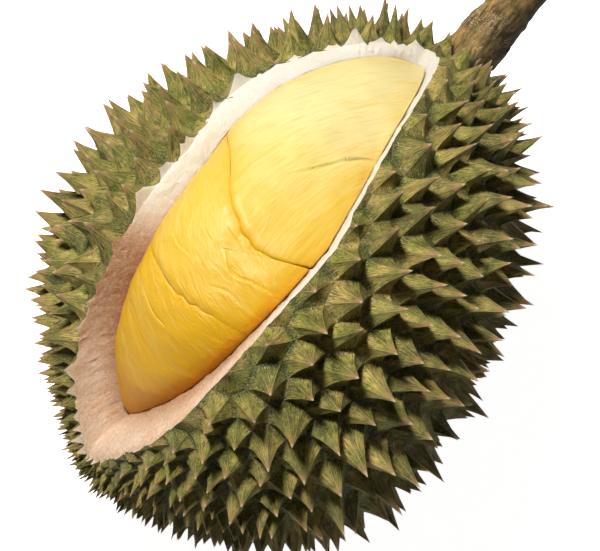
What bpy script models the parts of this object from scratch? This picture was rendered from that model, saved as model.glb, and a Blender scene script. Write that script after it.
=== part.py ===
"""A durian lying on its side, with one husk segment cut away so that the flesh shows.

The fruit's own axes: +X runs along the core to the stem, +Z up through the middle of the
open window. Stations run along X from -1 at the blossom tip to +1 at the stem. Angles
turn about X, from 0 at +Z towards -Y. At the end the whole fruit is set down on Z = 0.
"""
import math
import random

import bmesh
import bpy
from mathutils import Vector

# Body, thorns left off
HALF_LENGTH = 0.1149
GIRTH_RADIUS = 0.0912
STEM_SHARPNESS = 0.76          # 1 is an ellipse, more draws the end out
BLOSSOM_SHARPNESS = 1.42
STEM_TAPER = 0.160             # how much slimmer the stem half is
OVAL = 0.07                    # the cross-section is a little oval
OVAL_ANGLE = math.radians(18)
SIDE_SWELL = (0.027, -0.105, 0.215, -0.105)   # belly on the -Y side, by powers of the station
LOBE_HEIGHT = 0.012            # five low lobes, one over each chamber
LOBES = 5

# Thorns
SEED = 11
GOLDEN_ANGLE = math.pi * (3 - math.sqrt(5))
MID_SPACING = 0.0136
STEM_SPACING = 0.0110
BLOSSOM_SPACING = 0.0066
STEM_FROM = 0.55               # stations where the thorns start to crowd
BLOSSOM_FROM = -0.50
AREA_RADIUS = 0.098            # sphere with the body's skin area
SPACING_JITTER = 0.24
HEIGHT_TO_SPACING = 1.10
HEIGHT_JITTER = 0.14
LEAN = 0.22

# Window: the rim on the skin and the inner edge where the wall meets the flesh
RING_POINTS = 56
RIM = {
    "station": -0.045,
    "half_length": 0.935,
    "angle": math.radians(-1.6),
    "half_angle": math.radians(21.9),
    "blossom_flare": 1.6,      # how much wider it gets towards the blossom end
    "blossom_skew": math.radians(-20),  # both ends drift towards +Y
    "stem_skew": math.radians(-24),
    "stem_flare": 0.44,
    "blossom_power": 5.0,      # 2 is an ellipse, more is squarer
    "stem_power": 2.4,
    "left_gain": 0.11,         # how much wider it is on the +Y side
    "left_at": -0.15,
    "left_reach": 0.45,
}
INNER = {
    "station": -0.030,
    "half_length": 0.895,
    "angle": math.radians(-3.6),
    "half_angle": math.radians(23.2),
    "blossom_flare": 1.2,
    "blossom_skew": math.radians(-15),
    "stem_skew": math.radians(-11),
    "stem_flare": 0.0,
    "blossom_power": 3.1,
    "stem_power": 2.1,
    "left_gain": -0.16,
    "left_at": -0.02,
    "left_reach": 0.42,
}
WALL = 0.0130                  # husk thickness at the window
BLOSSOM_WALL = 0.0060          # extra thickness at the blossom end
STEM_WALL = -0.0060            # and less at the stem end
LEFT_WALL = -0.0070            # and less still on the +Y side
LEFT_FROM = -0.65              # it thins from here on, as a share of the window's half length
LEFT_SPAN = 0.90
CUT_REACH = 0.028              # how far the cutter stands out past the thorns
CUT_CROWN = (1.0, 0.6, 0.2)    # rings of its crown, as shares of the rim
CHAMBER_DEPTH = 0.046
CHAMBER_STEPS = 5
GAP = 0.0003

# Flesh
DOME_SHARE = 0.77              # how far the dome rises towards the skin
DOME_STEPS = 4
DOME_POWER = 2.2               # above 1 the dome draws in sooner
PART_PLANES = (                # station, tilt from square to the core
    (-0.10, math.radians(17)),
    (-0.45, math.radians(14)),
)

# Stem, from its root in the husk outwards
STEM_RADIUS = 0.0092
STEM_SEAT = 0.0080             # how deep its root sits in the husk
STEM_SHAPE = (                 # distance from the root, rise, radius
    (0.000, 0.0000, STEM_RADIUS),
    (0.014, 0.0000, STEM_RADIUS),
    (0.020, 0.0002, 0.0102),
    (0.027, 0.0004, 0.0117),
    (0.035, 0.0010, 0.0120),
    (0.046, 0.0021, 0.0107),
    (0.060, 0.0035, 0.0100),
    (0.080, 0.0050, 0.0102),
)
STEM_ROUNDNESS = 5
SEAT_SIDES = 32

REST_CUT = 0.0050              # how much the lowest thorns are blunted

COLOURS = {                    # base colour, roughness
    "husk": ((0.21, 0.23, 0.06), 0.55),
    "stem": ((0.22, 0.15, 0.08), 0.75),
    "stem_end_aril": ((0.93, 0.78, 0.30), 0.40),
    "middle_aril": ((0.90, 0.66, 0.16), 0.40),
    "blossom_end_aril": ((0.85, 0.55, 0.10), 0.40),
}


def clear_scene():
    for item in list(bpy.data.objects):
        bpy.data.objects.remove(item, do_unlink=True)


def make_collection(name):
    collection = bpy.data.collections.new(name)
    bpy.context.scene.collection.children.link(collection)
    return collection


def make_material(name):
    colour, roughness = COLOURS[name]
    material = bpy.data.materials.new(name)
    material.use_nodes = True
    shader = material.node_tree.nodes["Principled BSDF"]
    shader.inputs["Base Color"].default_value = (*colour, 1.0)
    shader.inputs["Roughness"].default_value = roughness
    shader.inputs["Metallic"].default_value = 0.0
    return material


def add_object(name, bm, collection):
    """Turn a bmesh into a named object with outward faces."""
    bmesh.ops.recalc_face_normals(bm, faces=bm.faces)
    mesh = bpy.data.meshes.new(name)
    bm.to_mesh(mesh)
    bm.free()
    item = bpy.data.objects.new(name, mesh)
    collection.objects.link(item)
    if name in COLOURS:
        mesh.materials.append(make_material(name))
    return item


def smooth_step(value):
    value = min(max(value, 0.0), 1.0)
    return value * value * (3 - 2 * value)


# Body surface

def skin_point(station, angle):
    side = sum(term * station ** power for power, term in enumerate(SIDE_SWELL))
    swell = 1 - STEM_TAPER * station + side * math.sin(angle)
    swell += OVAL * math.cos(2 * (angle - OVAL_ANGLE))
    swell += LOBE_HEIGHT * math.cos(LOBES * angle) * (1 - station * station)
    sharpness = BLOSSOM_SHARPNESS + (STEM_SHARPNESS - BLOSSOM_SHARPNESS) * (1 + station) / 2
    radius = GIRTH_RADIUS * max(1 - station * station, 0.0) ** (sharpness / 2) * swell
    return Vector((HALF_LENGTH * station, -radius * math.sin(angle), radius * math.cos(angle)))


def skin_normal(station, angle):
    step = 1e-3
    near = min(max(station, -1 + 2 * step), 1 - 2 * step)
    along = skin_point(near + step, angle) - skin_point(near - step, angle)
    around = skin_point(near, angle + step) - skin_point(near, angle - step)
    return around.cross(along).normalized()


def skin_place(direction):
    """Station and angle of the skin point that a unit direction stands for."""
    return direction.x, math.atan2(-direction.y, direction.z)


# Thorny husk

def thorn_spacing(station):
    stem_share = smooth_step((station - STEM_FROM) / (1 - STEM_FROM))
    blossom_share = smooth_step((BLOSSOM_FROM - station) / (1 + BLOSSOM_FROM))
    spacing = MID_SPACING + (STEM_SPACING - MID_SPACING) * stem_share
    return spacing + (BLOSSOM_SPACING - MID_SPACING) * blossom_share


def thorn_directions(rng):
    """Thorn centres as unit directions: a golden-angle spiral, crowded towards both ends."""
    directions = []
    station = -0.9995
    turn = 0.0
    while station < 0.9995:
        spacing = thorn_spacing(station)
        ring = math.sqrt(1 - station * station)
        point = Vector((station, -ring * math.sin(turn), ring * math.cos(turn)))
        reach = SPACING_JITTER * spacing / AREA_RADIUS
        point += Vector([rng.uniform(-reach, reach) for _ in range(3)])
        directions.append(point.normalized())
        cell_area = math.sqrt(3) / 2 * spacing * spacing
        station += cell_area / (2 * math.pi * AREA_RADIUS * AREA_RADIUS)
        turn += GOLDEN_ANGLE
    return directions


def dual_modifier(item):
    """Geometry nodes that turn the triangles between thorns into one cell per thorn."""
    tree = bpy.data.node_groups.new("thorn_cells", "GeometryNodeTree")
    tree.interface.new_socket("Geometry", in_out="INPUT", socket_type="NodeSocketGeometry")
    tree.interface.new_socket("Geometry", in_out="OUTPUT", socket_type="NodeSocketGeometry")
    entry = tree.nodes.new("NodeGroupInput")
    dual = tree.nodes.new("GeometryNodeDualMesh")
    leave = tree.nodes.new("NodeGroupOutput")
    tree.links.new(entry.outputs["Geometry"], dual.inputs["Mesh"])
    tree.links.new(dual.outputs["Dual Mesh"], leave.inputs["Geometry"])
    item.modifiers.new("cells", "NODES").node_group = tree


def applied_mesh(item):
    """The object's mesh with its modifiers applied, as a new bmesh."""
    graph = bpy.context.evaluated_depsgraph_get()
    graph.update()
    bm = bmesh.new()
    bm.from_mesh(item.evaluated_get(graph).to_mesh())
    return bm


def thorn_body(guides):
    """A closed body whose skin is split into cells, each raised to one thorn."""
    rng = random.Random(SEED)
    hull = bmesh.new()
    for direction in thorn_directions(rng):
        bmesh.ops.create_vert(hull, co=direction)
    bmesh.ops.convex_hull(hull, input=hull.verts)
    cage = add_object("thorn_guide", hull, guides)
    dual_modifier(cage)
    bm = applied_mesh(cage)

    cells = list(bm.faces)
    poked = bmesh.ops.poke(bm, faces=cells)
    tips = set(poked["verts"])
    for vert in bm.verts:
        station, angle = skin_place(vert.co.normalized())
        vert.co = skin_point(station, angle)
        if vert in tips:
            height = HEIGHT_TO_SPACING * thorn_spacing(station)
            height *= 1 + rng.uniform(-HEIGHT_JITTER, HEIGHT_JITTER)
            lean = Vector([rng.uniform(-LEAN, LEAN) for _ in range(3)])
            vert.co += (skin_normal(station, angle) + lean) * height
    return bm


# Window and chamber

def edge_half(edge, turn):
    """Side to side place on an edge, -1 on the +Y side to 1 on the -Y side."""
    u = math.cos(turn)
    power = edge["stem_power"] + (edge["blossom_power"] - edge["stem_power"]) * (1 - u) / 2
    return math.copysign(max(1 - abs(u) ** power, 0.0) ** (1 / power), math.sin(turn))


def edge_place(edge, turn, share=1.0):
    """Station and angle of a point on a window edge, drawn in to a share of its size."""
    u = math.cos(turn)
    blossomward = min(u, 0.0) ** 4
    stemward = max(u, 0.0) * (1 - u * u)
    flare = 1 + edge["blossom_flare"] * blossomward + edge["stem_flare"] * stemward
    side = edge_half(edge, turn) * flare
    if side < 0:
        side *= 1 + edge["left_gain"] * math.exp(-((u - edge["left_at"]) / edge["left_reach"]) ** 2)
    skew = edge["blossom_skew"] * blossomward + edge["stem_skew"] * stemward
    station = edge["station"] + edge["half_length"] * u * share
    return station, edge["angle"] + (skew + edge["half_angle"] * side) * share


def edge_turns():
    return [math.tau * (i + 0.5) / RING_POINTS for i in range(RING_POINTS)]


def off_skin(place, height):
    return skin_point(*place) + skin_normal(*place) * height


def rim_ring(height, share=1.0):
    return [off_skin(edge_place(RIM, turn, share), height) for turn in edge_turns()]


def wall_depth(turn):
    """Husk thickness round the window, greatest at the blossom end."""
    u = math.cos(turn)
    left = smooth_step(-edge_half(INNER, turn)) * smooth_step((u - LEFT_FROM) / LEFT_SPAN)
    return WALL + (STEM_WALL if u > 0 else BLOSSOM_WALL) * u * u + LEFT_WALL * left


def inner_ring(rise=0.0, share=1.0):
    places = [(edge_place(INNER, turn, share), wall_depth(turn)) for turn in edge_turns()]
    return [off_skin(place, (rise - 1) * depth) for place, depth in places]


def bowl_ring(ring, share, depth):
    """One ring of the rounded chamber below the inner edge, share 0 at the edge, 1 at the floor."""
    middle = sum(ring, Vector()) / len(ring)
    width = math.cos(share * math.pi / 2)
    drop = depth * math.sin(share * math.pi / 2)
    return [middle + (point - middle) * width - Vector((0, 0, drop)) for point in ring]


def loft(rings):
    """A closed solid through rings of equal count, its two ends closed to a point."""
    bm = bmesh.new()
    loops = []
    for ring in rings:
        made = bmesh.ops.create_circle(bm, segments=len(ring), radius=1.0)
        for vert, point in zip(made["verts"], ring):
            vert.co = point
        loops.append(list({edge for vert in made["verts"] for edge in vert.link_edges}))
    for upper, lower in zip(loops, loops[1:]):
        bmesh.ops.bridge_loops(bm, edges=upper + lower)
    caps = []
    for loop in (loops[0], loops[-1]):
        caps += bmesh.ops.contextual_create(bm, geom=loop)["faces"]
    bmesh.ops.poke(bm, faces=caps)
    return bm


def chamber_rings(inset):
    """Rings of the chamber under the window, drawn in by inset on every side."""
    edge = inner_ring()
    middle = sum(edge, Vector()) / len(edge)
    shrunk = [point + (middle - point).normalized() * inset for point in edge]
    shares = [i / CHAMBER_STEPS for i in range(CHAMBER_STEPS)]
    return [bowl_ring(shrunk, share, CHAMBER_DEPTH - inset) for share in shares]


def cut(item, cutter, name):
    modifier = item.modifiers.new(name, "BOOLEAN")
    modifier.operation = "DIFFERENCE"
    modifier.solver = "EXACT"
    modifier.object = cutter
    cutter.hide_render = True
    cutter.display_type = "WIRE"


def make_husk(parts, guides):
    husk = add_object("husk", thorn_body(guides), parts)
    crown = [rim_ring(CUT_REACH, share) for share in reversed(CUT_CROWN)]
    window = loft(crown + [rim_ring(0.0)] + chamber_rings(0.0))
    cut(husk, add_object("window_cutter", window, guides), "window")

    seat = bmesh.new()
    bmesh.ops.create_cone(seat, cap_ends=True, segments=SEAT_SIDES, depth=CUT_REACH + STEM_SEAT,
                          radius1=STEM_RADIUS + GAP, radius2=STEM_RADIUS + GAP)
    seat_cutter = add_object("seat_cutter", seat, guides)
    seat_cutter.rotation_euler = (0, math.radians(90), 0)
    seat_cutter.location = (HALF_LENGTH + (CUT_REACH - STEM_SEAT) / 2, 0, 0)
    cut(husk, seat_cutter, "stem_seat")

    lowest = min(vert.co.z for vert in husk.data.vertices)
    block = bmesh.new()
    bmesh.ops.create_cube(block, size=4 * HALF_LENGTH)
    ground = add_object("ground_cutter", block, guides)
    ground.location.z = lowest + REST_CUT - 2 * HALF_LENGTH
    cut(husk, ground, "rest_flat")
    return husk


# Flesh

def flesh_mass():
    """The three arils as one mass that fills the chamber and domes up into the window."""
    dome = []
    for i in range(1, DOME_STEPS):
        share = i / DOME_STEPS * math.pi / 2
        dome.append(inner_ring(DOME_SHARE * math.sin(share), math.cos(share) ** DOME_POWER))
    return loft(list(reversed(dome)) + chamber_rings(GAP))


def slice_flesh(name, parts, low, high):
    """One aril: the flesh between two parting planes, each half a gap inside."""
    bm = flesh_mass()
    for plane, side in ((low, -1), (high, 1)):
        if plane is None:
            continue
        station, tilt = plane
        normal = Vector((math.cos(tilt), math.sin(tilt), 0)) * side
        point = Vector((station * HALF_LENGTH, 0, 0)) - normal * GAP / 2
        geometry = bm.verts[:] + bm.edges[:] + bm.faces[:]
        bmesh.ops.bisect_plane(bm, geom=geometry, plane_co=point, plane_no=normal, clear_outer=True)
        open_edges = [edge for edge in bm.edges if edge.is_boundary]
        bmesh.ops.holes_fill(bm, edges=open_edges)
    return add_object(name, bm, parts)


# Stem

def make_stem(parts):
    """A woody stalk with a swollen joint, its root square in the husk's seat."""
    curve = bpy.data.curves.new("stem", "CURVE")
    curve.dimensions = "3D"
    curve.bevel_depth = STEM_RADIUS
    curve.bevel_resolution = STEM_ROUNDNESS
    curve.resolution_u = 3
    curve.use_fill_caps = True
    spline = curve.splines.new("BEZIER")
    spline.bezier_points.add(len(STEM_SHAPE) - 1)
    for point, (along, rise, radius) in zip(spline.bezier_points, STEM_SHAPE):
        point.co = (along, 0, rise)
        point.radius = radius / STEM_RADIUS
        point.handle_left_type = "AUTO"
        point.handle_right_type = "AUTO"
    curve.materials.append(make_material("stem"))
    stem = bpy.data.objects.new("stem", curve)
    stem.location.x = HALF_LENGTH - STEM_SEAT + GAP
    parts.objects.link(stem)
    return stem


def set_down(items):
    """Hang every piece on one empty, and bring the box's bottom centre to the origin."""
    graph = bpy.context.evaluated_depsgraph_get()
    graph.update()
    corners = []
    for item in items:
        mesh = item.evaluated_get(graph).to_mesh()
        corners += [item.matrix_world @ vert.co for vert in mesh.vertices]
    low = Vector([min(corner[k] for corner in corners) for k in range(3)])
    high = Vector([max(corner[k] for corner in corners) for k in range(3)])
    base = bpy.data.objects.new("durian_base", None)
    bpy.context.scene.collection.objects.link(base)
    base.location = (-(low.x + high.x) / 2, -(low.y + high.y) / 2, -low.z)
    for item in items:
        item.parent = base


def main():
    clear_scene()
    parts = make_collection("durian")
    guides = make_collection("guides")
    husk = make_husk(parts, guides)
    stem = make_stem(parts)
    first, second = PART_PLANES
    arils = [
        slice_flesh("stem_end_aril", parts, first, None),
        slice_flesh("middle_aril", parts, second, first),
        slice_flesh("blossom_end_aril", parts, None, second),
    ]
    cutters = [item for item in guides.objects if item.name != "thorn_guide"]
    set_down([husk, stem] + arils)
    for cutter in cutters:
        cutter.parent = husk.parent
    bpy.data.objects.remove(bpy.data.objects["thorn_guide"], do_unlink=True)


main()
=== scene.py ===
import math
import random
import bpy
import numpy as np
from mathutils import Matrix, Vector, noise


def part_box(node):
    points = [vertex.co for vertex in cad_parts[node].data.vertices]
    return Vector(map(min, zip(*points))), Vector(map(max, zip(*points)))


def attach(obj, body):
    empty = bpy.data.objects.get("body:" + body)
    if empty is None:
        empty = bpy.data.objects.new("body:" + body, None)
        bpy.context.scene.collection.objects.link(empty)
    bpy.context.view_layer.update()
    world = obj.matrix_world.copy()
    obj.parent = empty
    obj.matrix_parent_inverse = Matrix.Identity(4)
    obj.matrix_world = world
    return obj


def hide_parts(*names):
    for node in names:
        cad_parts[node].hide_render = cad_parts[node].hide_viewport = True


# A durian on its side with one husk segment cut away. Lengths are in metres.
# Shapes are laid out on the fruit's own axes first: +X along the core to the stem, +Z up through
# the window, stations -1 to 1 along X, angles about X from +Z towards -Y. They are then set down
# where the CAD husk lies.

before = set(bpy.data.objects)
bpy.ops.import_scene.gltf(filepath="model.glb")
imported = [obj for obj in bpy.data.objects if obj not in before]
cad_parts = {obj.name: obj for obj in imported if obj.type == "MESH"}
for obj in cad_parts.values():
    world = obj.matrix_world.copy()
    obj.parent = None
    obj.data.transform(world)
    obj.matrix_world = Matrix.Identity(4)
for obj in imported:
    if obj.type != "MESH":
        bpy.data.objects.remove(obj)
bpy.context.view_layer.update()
mm = 0.001

fruit = {
    "halfLength": 0.1149,
    "girth": 0.0912,
    "stemSharpness": 0.76,
    "blossomSharpness": 1.42,
    "stemTaper": 0.160,
    "oval": 0.07,
    "ovalAngle": math.radians(18),
    "sideSwell": (0.027, -0.105, 0.215, -0.105),
    "lobeHeight": 0.012,
    "lobes": 5,
}


# Small tools used by every piece

def pickOnly(item):
    if bpy.context.object and bpy.context.object.mode != "OBJECT":
        bpy.ops.object.mode_set(mode="OBJECT")
    bpy.ops.object.select_all(action="DESELECT")
    item.select_set(True)
    bpy.context.view_layer.objects.active = item


def editAll(item):
    pickOnly(item)
    bpy.ops.object.mode_set(mode="EDIT")
    bpy.ops.mesh.select_all(action="SELECT")


def faceOutward(item):
    editAll(item)
    bpy.ops.mesh.normals_make_consistent(inside=False)
    bpy.ops.object.mode_set(mode="OBJECT")


def readPlaces(mesh):
    flat = np.empty(len(mesh.vertices) * 3)
    mesh.vertices.foreach_get("co", flat)
    return flat.reshape(-1, 3)


def writePlaces(mesh, places):
    mesh.vertices.foreach_set("co", np.asarray(places, float).ravel())
    mesh.update()


def readNormals(mesh):
    flat = np.empty(len(mesh.vertices) * 3)
    mesh.vertex_normals.foreach_get("vector", flat)
    return flat.reshape(-1, 3)


def addField(mesh, name, values):
    values = np.asarray(values, float)
    kind = "FLOAT" if values.ndim == 1 else "FLOAT_VECTOR"
    field = mesh.attributes.new(name, kind, "POINT")
    field.data.foreach_set("value" if kind == "FLOAT" else "vector", values.ravel())


def readField(mesh, name):
    field = mesh.attributes[name]
    if field.data_type == "FLOAT":
        values = np.empty(len(mesh.vertices))
        field.data.foreach_get("value", values)
        return values
    values = np.empty(len(mesh.vertices) * 3)
    field.data.foreach_get("vector", values)
    return values.reshape(-1, 3)


def readUv(mesh):
    flat = np.empty(len(mesh.loops) * 2)
    mesh.uv_layers["place"].data.foreach_get("uv", flat)
    return flat.reshape(-1, 2)


def writeUv(mesh, values):
    mesh.uv_layers["place"].data.foreach_set("uv", np.asarray(values, float).ravel())


def ripple(places, size, shift=0.0):
    # smooth noise from -1 to 1, with lumps about this size
    return np.array([noise.noise(Vector(p) / size + Vector((shift, shift, shift))) for p in places])


def smoothStep(value):
    value = np.clip(value, 0.0, 1.0)
    return value * value * (3 - 2 * value)


def unit(vectors):
    return vectors / np.maximum(np.linalg.norm(vectors, axis=-1, keepdims=True), 1e-12)


def roundShell(name, segments, rows):
    # a ball whose rings and columns are then laid along a shape
    bpy.ops.object.select_all(action="DESELECT")
    bpy.ops.mesh.primitive_uv_sphere_add(segments=segments, ring_count=rows, radius=1.0)
    shell = bpy.context.object
    shell.name = name
    shell.data.name = name
    shell.data.uv_layers[0].name = "place"
    ball = readPlaces(shell.data)
    row = np.rint(np.arccos(np.clip(ball[:, 2], -1, 1)) / math.pi * rows).astype(int)
    column = np.rint(np.arctan2(ball[:, 1], ball[:, 0]) / math.tau * segments).astype(int) % segments
    return shell, row, column


def closeEnds(grid):
    # draws the first and the last ring together to a point
    for end in (0, -1):
        grid[end] = grid[end].mean(axis=0)


# Body surface

def skinPoint(station, angle):
    side = sum(term * station ** power for power, term in enumerate(fruit["sideSwell"]))
    swell = 1 - fruit["stemTaper"] * station + side * np.sin(angle)
    swell = swell + fruit["oval"] * np.cos(2 * (angle - fruit["ovalAngle"]))
    swell = swell + fruit["lobeHeight"] * np.cos(fruit["lobes"] * angle) * (1 - station * station)
    blend = (1 + station) / 2
    sharpness = fruit["blossomSharpness"] * (1 - blend) + fruit["stemSharpness"] * blend
    radius = fruit["girth"] * np.maximum(1 - station * station, 0.0) ** (sharpness / 2) * swell
    across = -radius * np.sin(angle)
    return np.stack([fruit["halfLength"] * station, across, radius * np.cos(angle)], -1)


def skinNormal(station, angle):
    step = 1e-3
    near = np.clip(station, -1 + 2 * step, 1 - 2 * step)
    along = skinPoint(near + step, angle) - skinPoint(near - step, angle)
    around = skinPoint(near, angle + step) - skinPoint(near, angle - step)
    return unit(np.cross(around, along))


def offSkin(station, angle, height):
    return skinPoint(station, angle) + skinNormal(station, angle) * np.asarray(height)[..., None]


# Husk: one cell of skin for each thorn, raised to a point

thorns = {
    "seed": 11,
    "midSpacing": 0.0136,
    "stemSpacing": 0.0110,
    "blossomSpacing": 0.0066,
    "stemFrom": 0.55,
    "blossomFrom": -0.50,
    "areaRadius": 0.098,
    "spacingJitter": 0.24,
    "heightToSpacing": 1.10,
    "heightJitter": 0.14,
    "lean": 0.22,
    "cuts": 4,            # how finely each facet is divided
    "flare": 1.72,        # above 1 the sides curve in to a sharper point
    "bend": 2.3,          # the lean comes in towards the point
    "hollow": 0.055,      # dip in the middle of each facet, as a share of the spacing
    "dents": 0.30 * mm,
    "dentSize": 7 * mm,
    "fineDents": 0.35,
    "fineDentSize": 2.4 * mm,
    "restCut": 0.0050,
    "rimShares": (0.62, 0.30),    # heights of the thorns the window cuts through, left and right
    "rimReach": 4.6,      # they grow back to full height over about these millimetres
    "rimScale": 40,       # millimetres from the window's middle to its edge
    "rightFrom": -0.25,   # angles over which left turns into right
    "rightSpan": 0.3,
    "poleStation": 0.9995,
    "mapSlots": 8,        # whole numbers that the map keeps for one thorn's facets
    "creaseAngle": math.radians(24),
}
goldenAngle = math.pi * (3 - math.sqrt(5))


def thornSpacing(station):
    stemShare = smoothStep((station - thorns["stemFrom"]) / (1 - thorns["stemFrom"]))
    blossomShare = smoothStep((thorns["blossomFrom"] - station) / (1 + thorns["blossomFrom"]))
    spacing = thorns["midSpacing"] + (thorns["stemSpacing"] - thorns["midSpacing"]) * stemShare
    return spacing + (thorns["blossomSpacing"] - thorns["midSpacing"]) * blossomShare


def thornDirections(draws):
    # a golden-angle spiral, crowded towards both ends
    directions = []
    station = -thorns["poleStation"]
    turn = 0.0
    while station < thorns["poleStation"]:
        spacing = float(thornSpacing(station))
        ring = math.sqrt(1 - station * station)
        point = Vector((station, -ring * math.sin(turn), ring * math.cos(turn)))
        reach = thorns["spacingJitter"] * spacing / thorns["areaRadius"]
        point += Vector([draws.uniform(-reach, reach) for _ in range(3)])
        directions.append(point.normalized())
        cellArea = math.sqrt(3) / 2 * spacing * spacing
        station += cellArea / (2 * math.pi * thorns["areaRadius"] ** 2)
        turn += goldenAngle
    return directions


def cellModifier(item):
    # turns the triangles between thorns into one cell per thorn
    tree = bpy.data.node_groups.new("thornCells", "GeometryNodeTree")
    tree.interface.new_socket("Geometry", in_out="INPUT", socket_type="NodeSocketGeometry")
    tree.interface.new_socket("Geometry", in_out="OUTPUT", socket_type="NodeSocketGeometry")
    entry = tree.nodes.new("NodeGroupInput")
    dual = tree.nodes.new("GeometryNodeDualMesh")
    leave = tree.nodes.new("NodeGroupOutput")
    tree.links.new(entry.outputs["Geometry"], dual.inputs["Mesh"])
    tree.links.new(dual.outputs["Dual Mesh"], leave.inputs["Geometry"])
    item.modifiers.new("cells", "NODES").node_group = tree


def raiseThorns():
    draws = random.Random(thorns["seed"])
    mesh = bpy.data.meshes.new("huskPiece")
    mesh.from_pydata(thornDirections(draws), [], [])
    husk = bpy.data.objects.new("huskPiece", mesh)
    bpy.context.scene.collection.objects.link(husk)
    editAll(husk)
    bpy.ops.mesh.convex_hull(join_triangles=False)
    bpy.ops.object.mode_set(mode="OBJECT")
    cellModifier(husk)
    bpy.ops.object.modifier_apply(modifier="cells")
    mesh = husk.data
    feet = len(mesh.vertices)
    editAll(husk)
    bpy.ops.mesh.poke()
    bpy.ops.object.mode_set(mode="OBJECT")

    out = unit(readPlaces(mesh))
    station = out[:, 0]
    angle = np.arctan2(-out[:, 1], out[:, 2])
    normal = skinNormal(station, angle)
    foot = skinPoint(station, angle)
    isTip = np.arange(len(out)) >= feet
    lift = np.zeros_like(out)
    lean = np.zeros_like(out)
    for i in np.nonzero(isTip)[0]:
        height = thorns["heightToSpacing"] * float(thornSpacing(station[i]))
        height *= 1 + draws.uniform(-thorns["heightJitter"], thorns["heightJitter"])
        lift[i] = normal[i] * height
        lean[i] = np.array([draws.uniform(-thorns["lean"], thorns["lean"]) for _ in range(3)]) * height
    full = foot + lift + lean
    outside = (windowShare(window, station, angle) - 1) * thorns["rimScale"]
    leftLow, rightLow = thorns["rimShares"]
    rightward = smoothStep((angle - thorns["rightFrom"]) / thorns["rightSpan"])
    lowest = leftLow + (rightLow - leftLow) * rightward
    lower = lowest + (1 - lowest) * smoothStep(outside / thorns["rimReach"] - 0.4)
    lift *= lower[:, None]
    lean *= lower[:, None]
    writePlaces(mesh, foot + lift + lean)
    addField(mesh, "share", isTip.astype(float))
    addField(mesh, "lift", lift)
    addField(mesh, "lean", lean)

    # the map gives each facet a whole number across, and its height from 0 at the foot to 1
    mesh.uv_layers.new(name="place")
    corner = np.array([loop.vertex_index for loop in mesh.loops]).reshape(-1, 3)
    marks = np.zeros((len(corner), 3, 2))
    count = {}
    for f, verts in enumerate(corner):
        tipAt = int(np.argmax(verts))
        tip = int(verts[tipAt])
        k = count.get(tip, 0)
        count[tip] = k + 1
        base = (tip - feet) * thorns["mapSlots"] + k
        marks[f, tipAt] = (base + 0.5, 1)
        marks[f, (tipAt + 1) % 3] = (base, 0)
        marks[f, (tipAt + 2) % 3] = (base + 1, 0)
    writeUv(mesh, marks)
    return husk, full


def shapeThorns(husk):
    editAll(husk)
    bpy.ops.mesh.subdivide(number_cuts=thorns["cuts"])
    bpy.ops.object.mode_set(mode="OBJECT")
    mesh = husk.data
    places = readPlaces(mesh)
    share = readField(mesh, "share")
    lift = readField(mesh, "lift")
    lean = readField(mesh, "lean")
    safe = np.maximum(share, 1e-4)[:, None]
    foot = places - lift - lean
    places = foot + lift / safe * (share ** thorns["flare"])[:, None]
    places += lean / safe * (share ** thorns["bend"])[:, None]
    writePlaces(mesh, places)

    marks = readUv(mesh)
    high = marks[:, 1]
    flat = marks[:, 0] - 0.5 * high
    across = np.clip(flat - np.floor(flat + 1e-4), 0, 1)
    middle = np.zeros(len(mesh.vertices))
    owner = np.array([loop.vertex_index for loop in mesh.loops])
    middle[owner] = 4 * across * np.maximum(1 - high - across, 0)
    spacing = np.linalg.norm(lift, axis=1) / safe[:, 0] / thorns["heightToSpacing"]
    spacing[share < 0.02] = 0.5 * thorns["midSpacing"]
    dip = thorns["hollow"] * spacing * middle
    dents = thorns["dents"] * ripple(places, thorns["dentSize"])
    dents += thorns["fineDents"] * thorns["dents"] * ripple(places, thorns["fineDentSize"], 9.0)
    writePlaces(mesh, places - readNormals(mesh) * (dip + dents * (share < 0.97))[:, None])
    for name in ("share", "lift", "lean"):
        mesh.attributes.remove(mesh.attributes[name])


# Window cut through the husk, and the chamber under it

window = {
    "station": -0.045,
    "halfLength": 0.935,
    "angle": math.radians(-1.6),
    "halfAngle": math.radians(21.9),
    "blossomFlare": 1.6,
    "blossomSkew": math.radians(-20),
    "stemSkew": math.radians(-24),
    "stemFlare": 0.44,
    "blossomPower": 5.0,
    "stemPower": 2.4,
    "leftGain": 0.11,     # how much wider it is on the left of its middle
    "leftAt": -0.15,
    "leftReach": 0.45,
}
chamber = {
    "station": -0.030,
    "halfLength": 0.895,
    "angle": math.radians(-3.6),
    "halfAngle": math.radians(23.2),
    "blossomFlare": 1.2,
    "blossomSkew": math.radians(-15),
    "stemSkew": math.radians(-11),
    "stemFlare": 0.0,
    "blossomPower": 3.1,
    "stemPower": 2.1,
    "leftGain": -0.16,
    "leftAt": -0.02,
    "leftReach": 0.42,
}
wall = {
    "depth": 0.0130,
    "blossomExtra": 0.0060,
    "stemExtra": -0.0060,
    "leftExtra": -0.0070,
    "leftFrom": -0.65,
    "leftSpan": 0.9,
    "round": 0.62,        # below 1 the cut face leans in sooner
    "reach": 0.028,
    "floorDepth": 0.046,
    "columns": 420,
    "crownRows": 5,
    "thornRows": 14,
    "wallRows": 26,
    "bowlRows": 20,
    "lumps": 0.50 * mm,
    "lumpSize": 9 * mm,
    "lumpStretch": 14,    # millimetres that one level of the wall counts as
    "fibres": 0.40 * mm,
    "fibreSize": 1.6 * mm,
    "fibreStretch": 3.5,
    "grit": 0.7,
    "gritSize": 1.9 * mm,
}


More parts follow.
